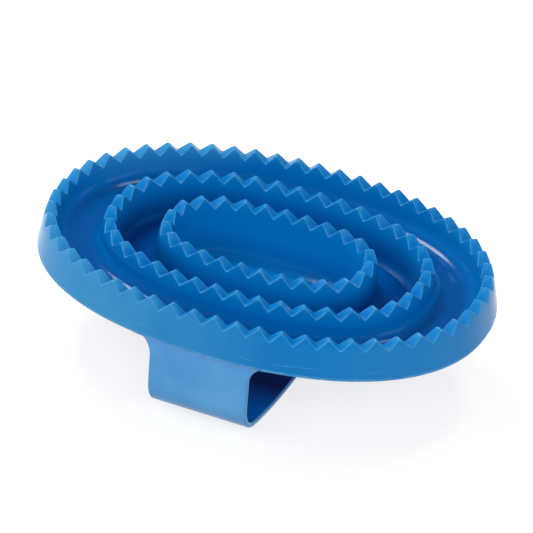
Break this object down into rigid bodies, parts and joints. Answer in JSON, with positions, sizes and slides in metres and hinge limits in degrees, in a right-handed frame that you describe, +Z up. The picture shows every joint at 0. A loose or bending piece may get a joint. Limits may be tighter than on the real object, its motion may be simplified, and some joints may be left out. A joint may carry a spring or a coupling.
{
  "type": "rubber curry brush",
  "caption": "Oval rubber curry brush with concentric saw-toothed rings on its face and a moulded hand strap across its back.",
  "frame": {"origin": "centre of the flat under the hand strap, where the brush rests with its teeth up", "axes": "+X along the oval, +Y across it, +Z up towards the tooth tips"},
  "size_m": [0.16, 0.1122, 0.046],
  "materials": {
    "blue_rubber": "smooth semi-gloss moulded rubber"
  },
  "bodies": {
    "root": {"back_plate": "blue_rubber", "outer_tooth_ring": "blue_rubber", "middle_tooth_ring": "blue_rubber", "inner_tooth_ring": "blue_rubber", "hand_strap": "blue_rubber"}
  },
  "joints": []
}
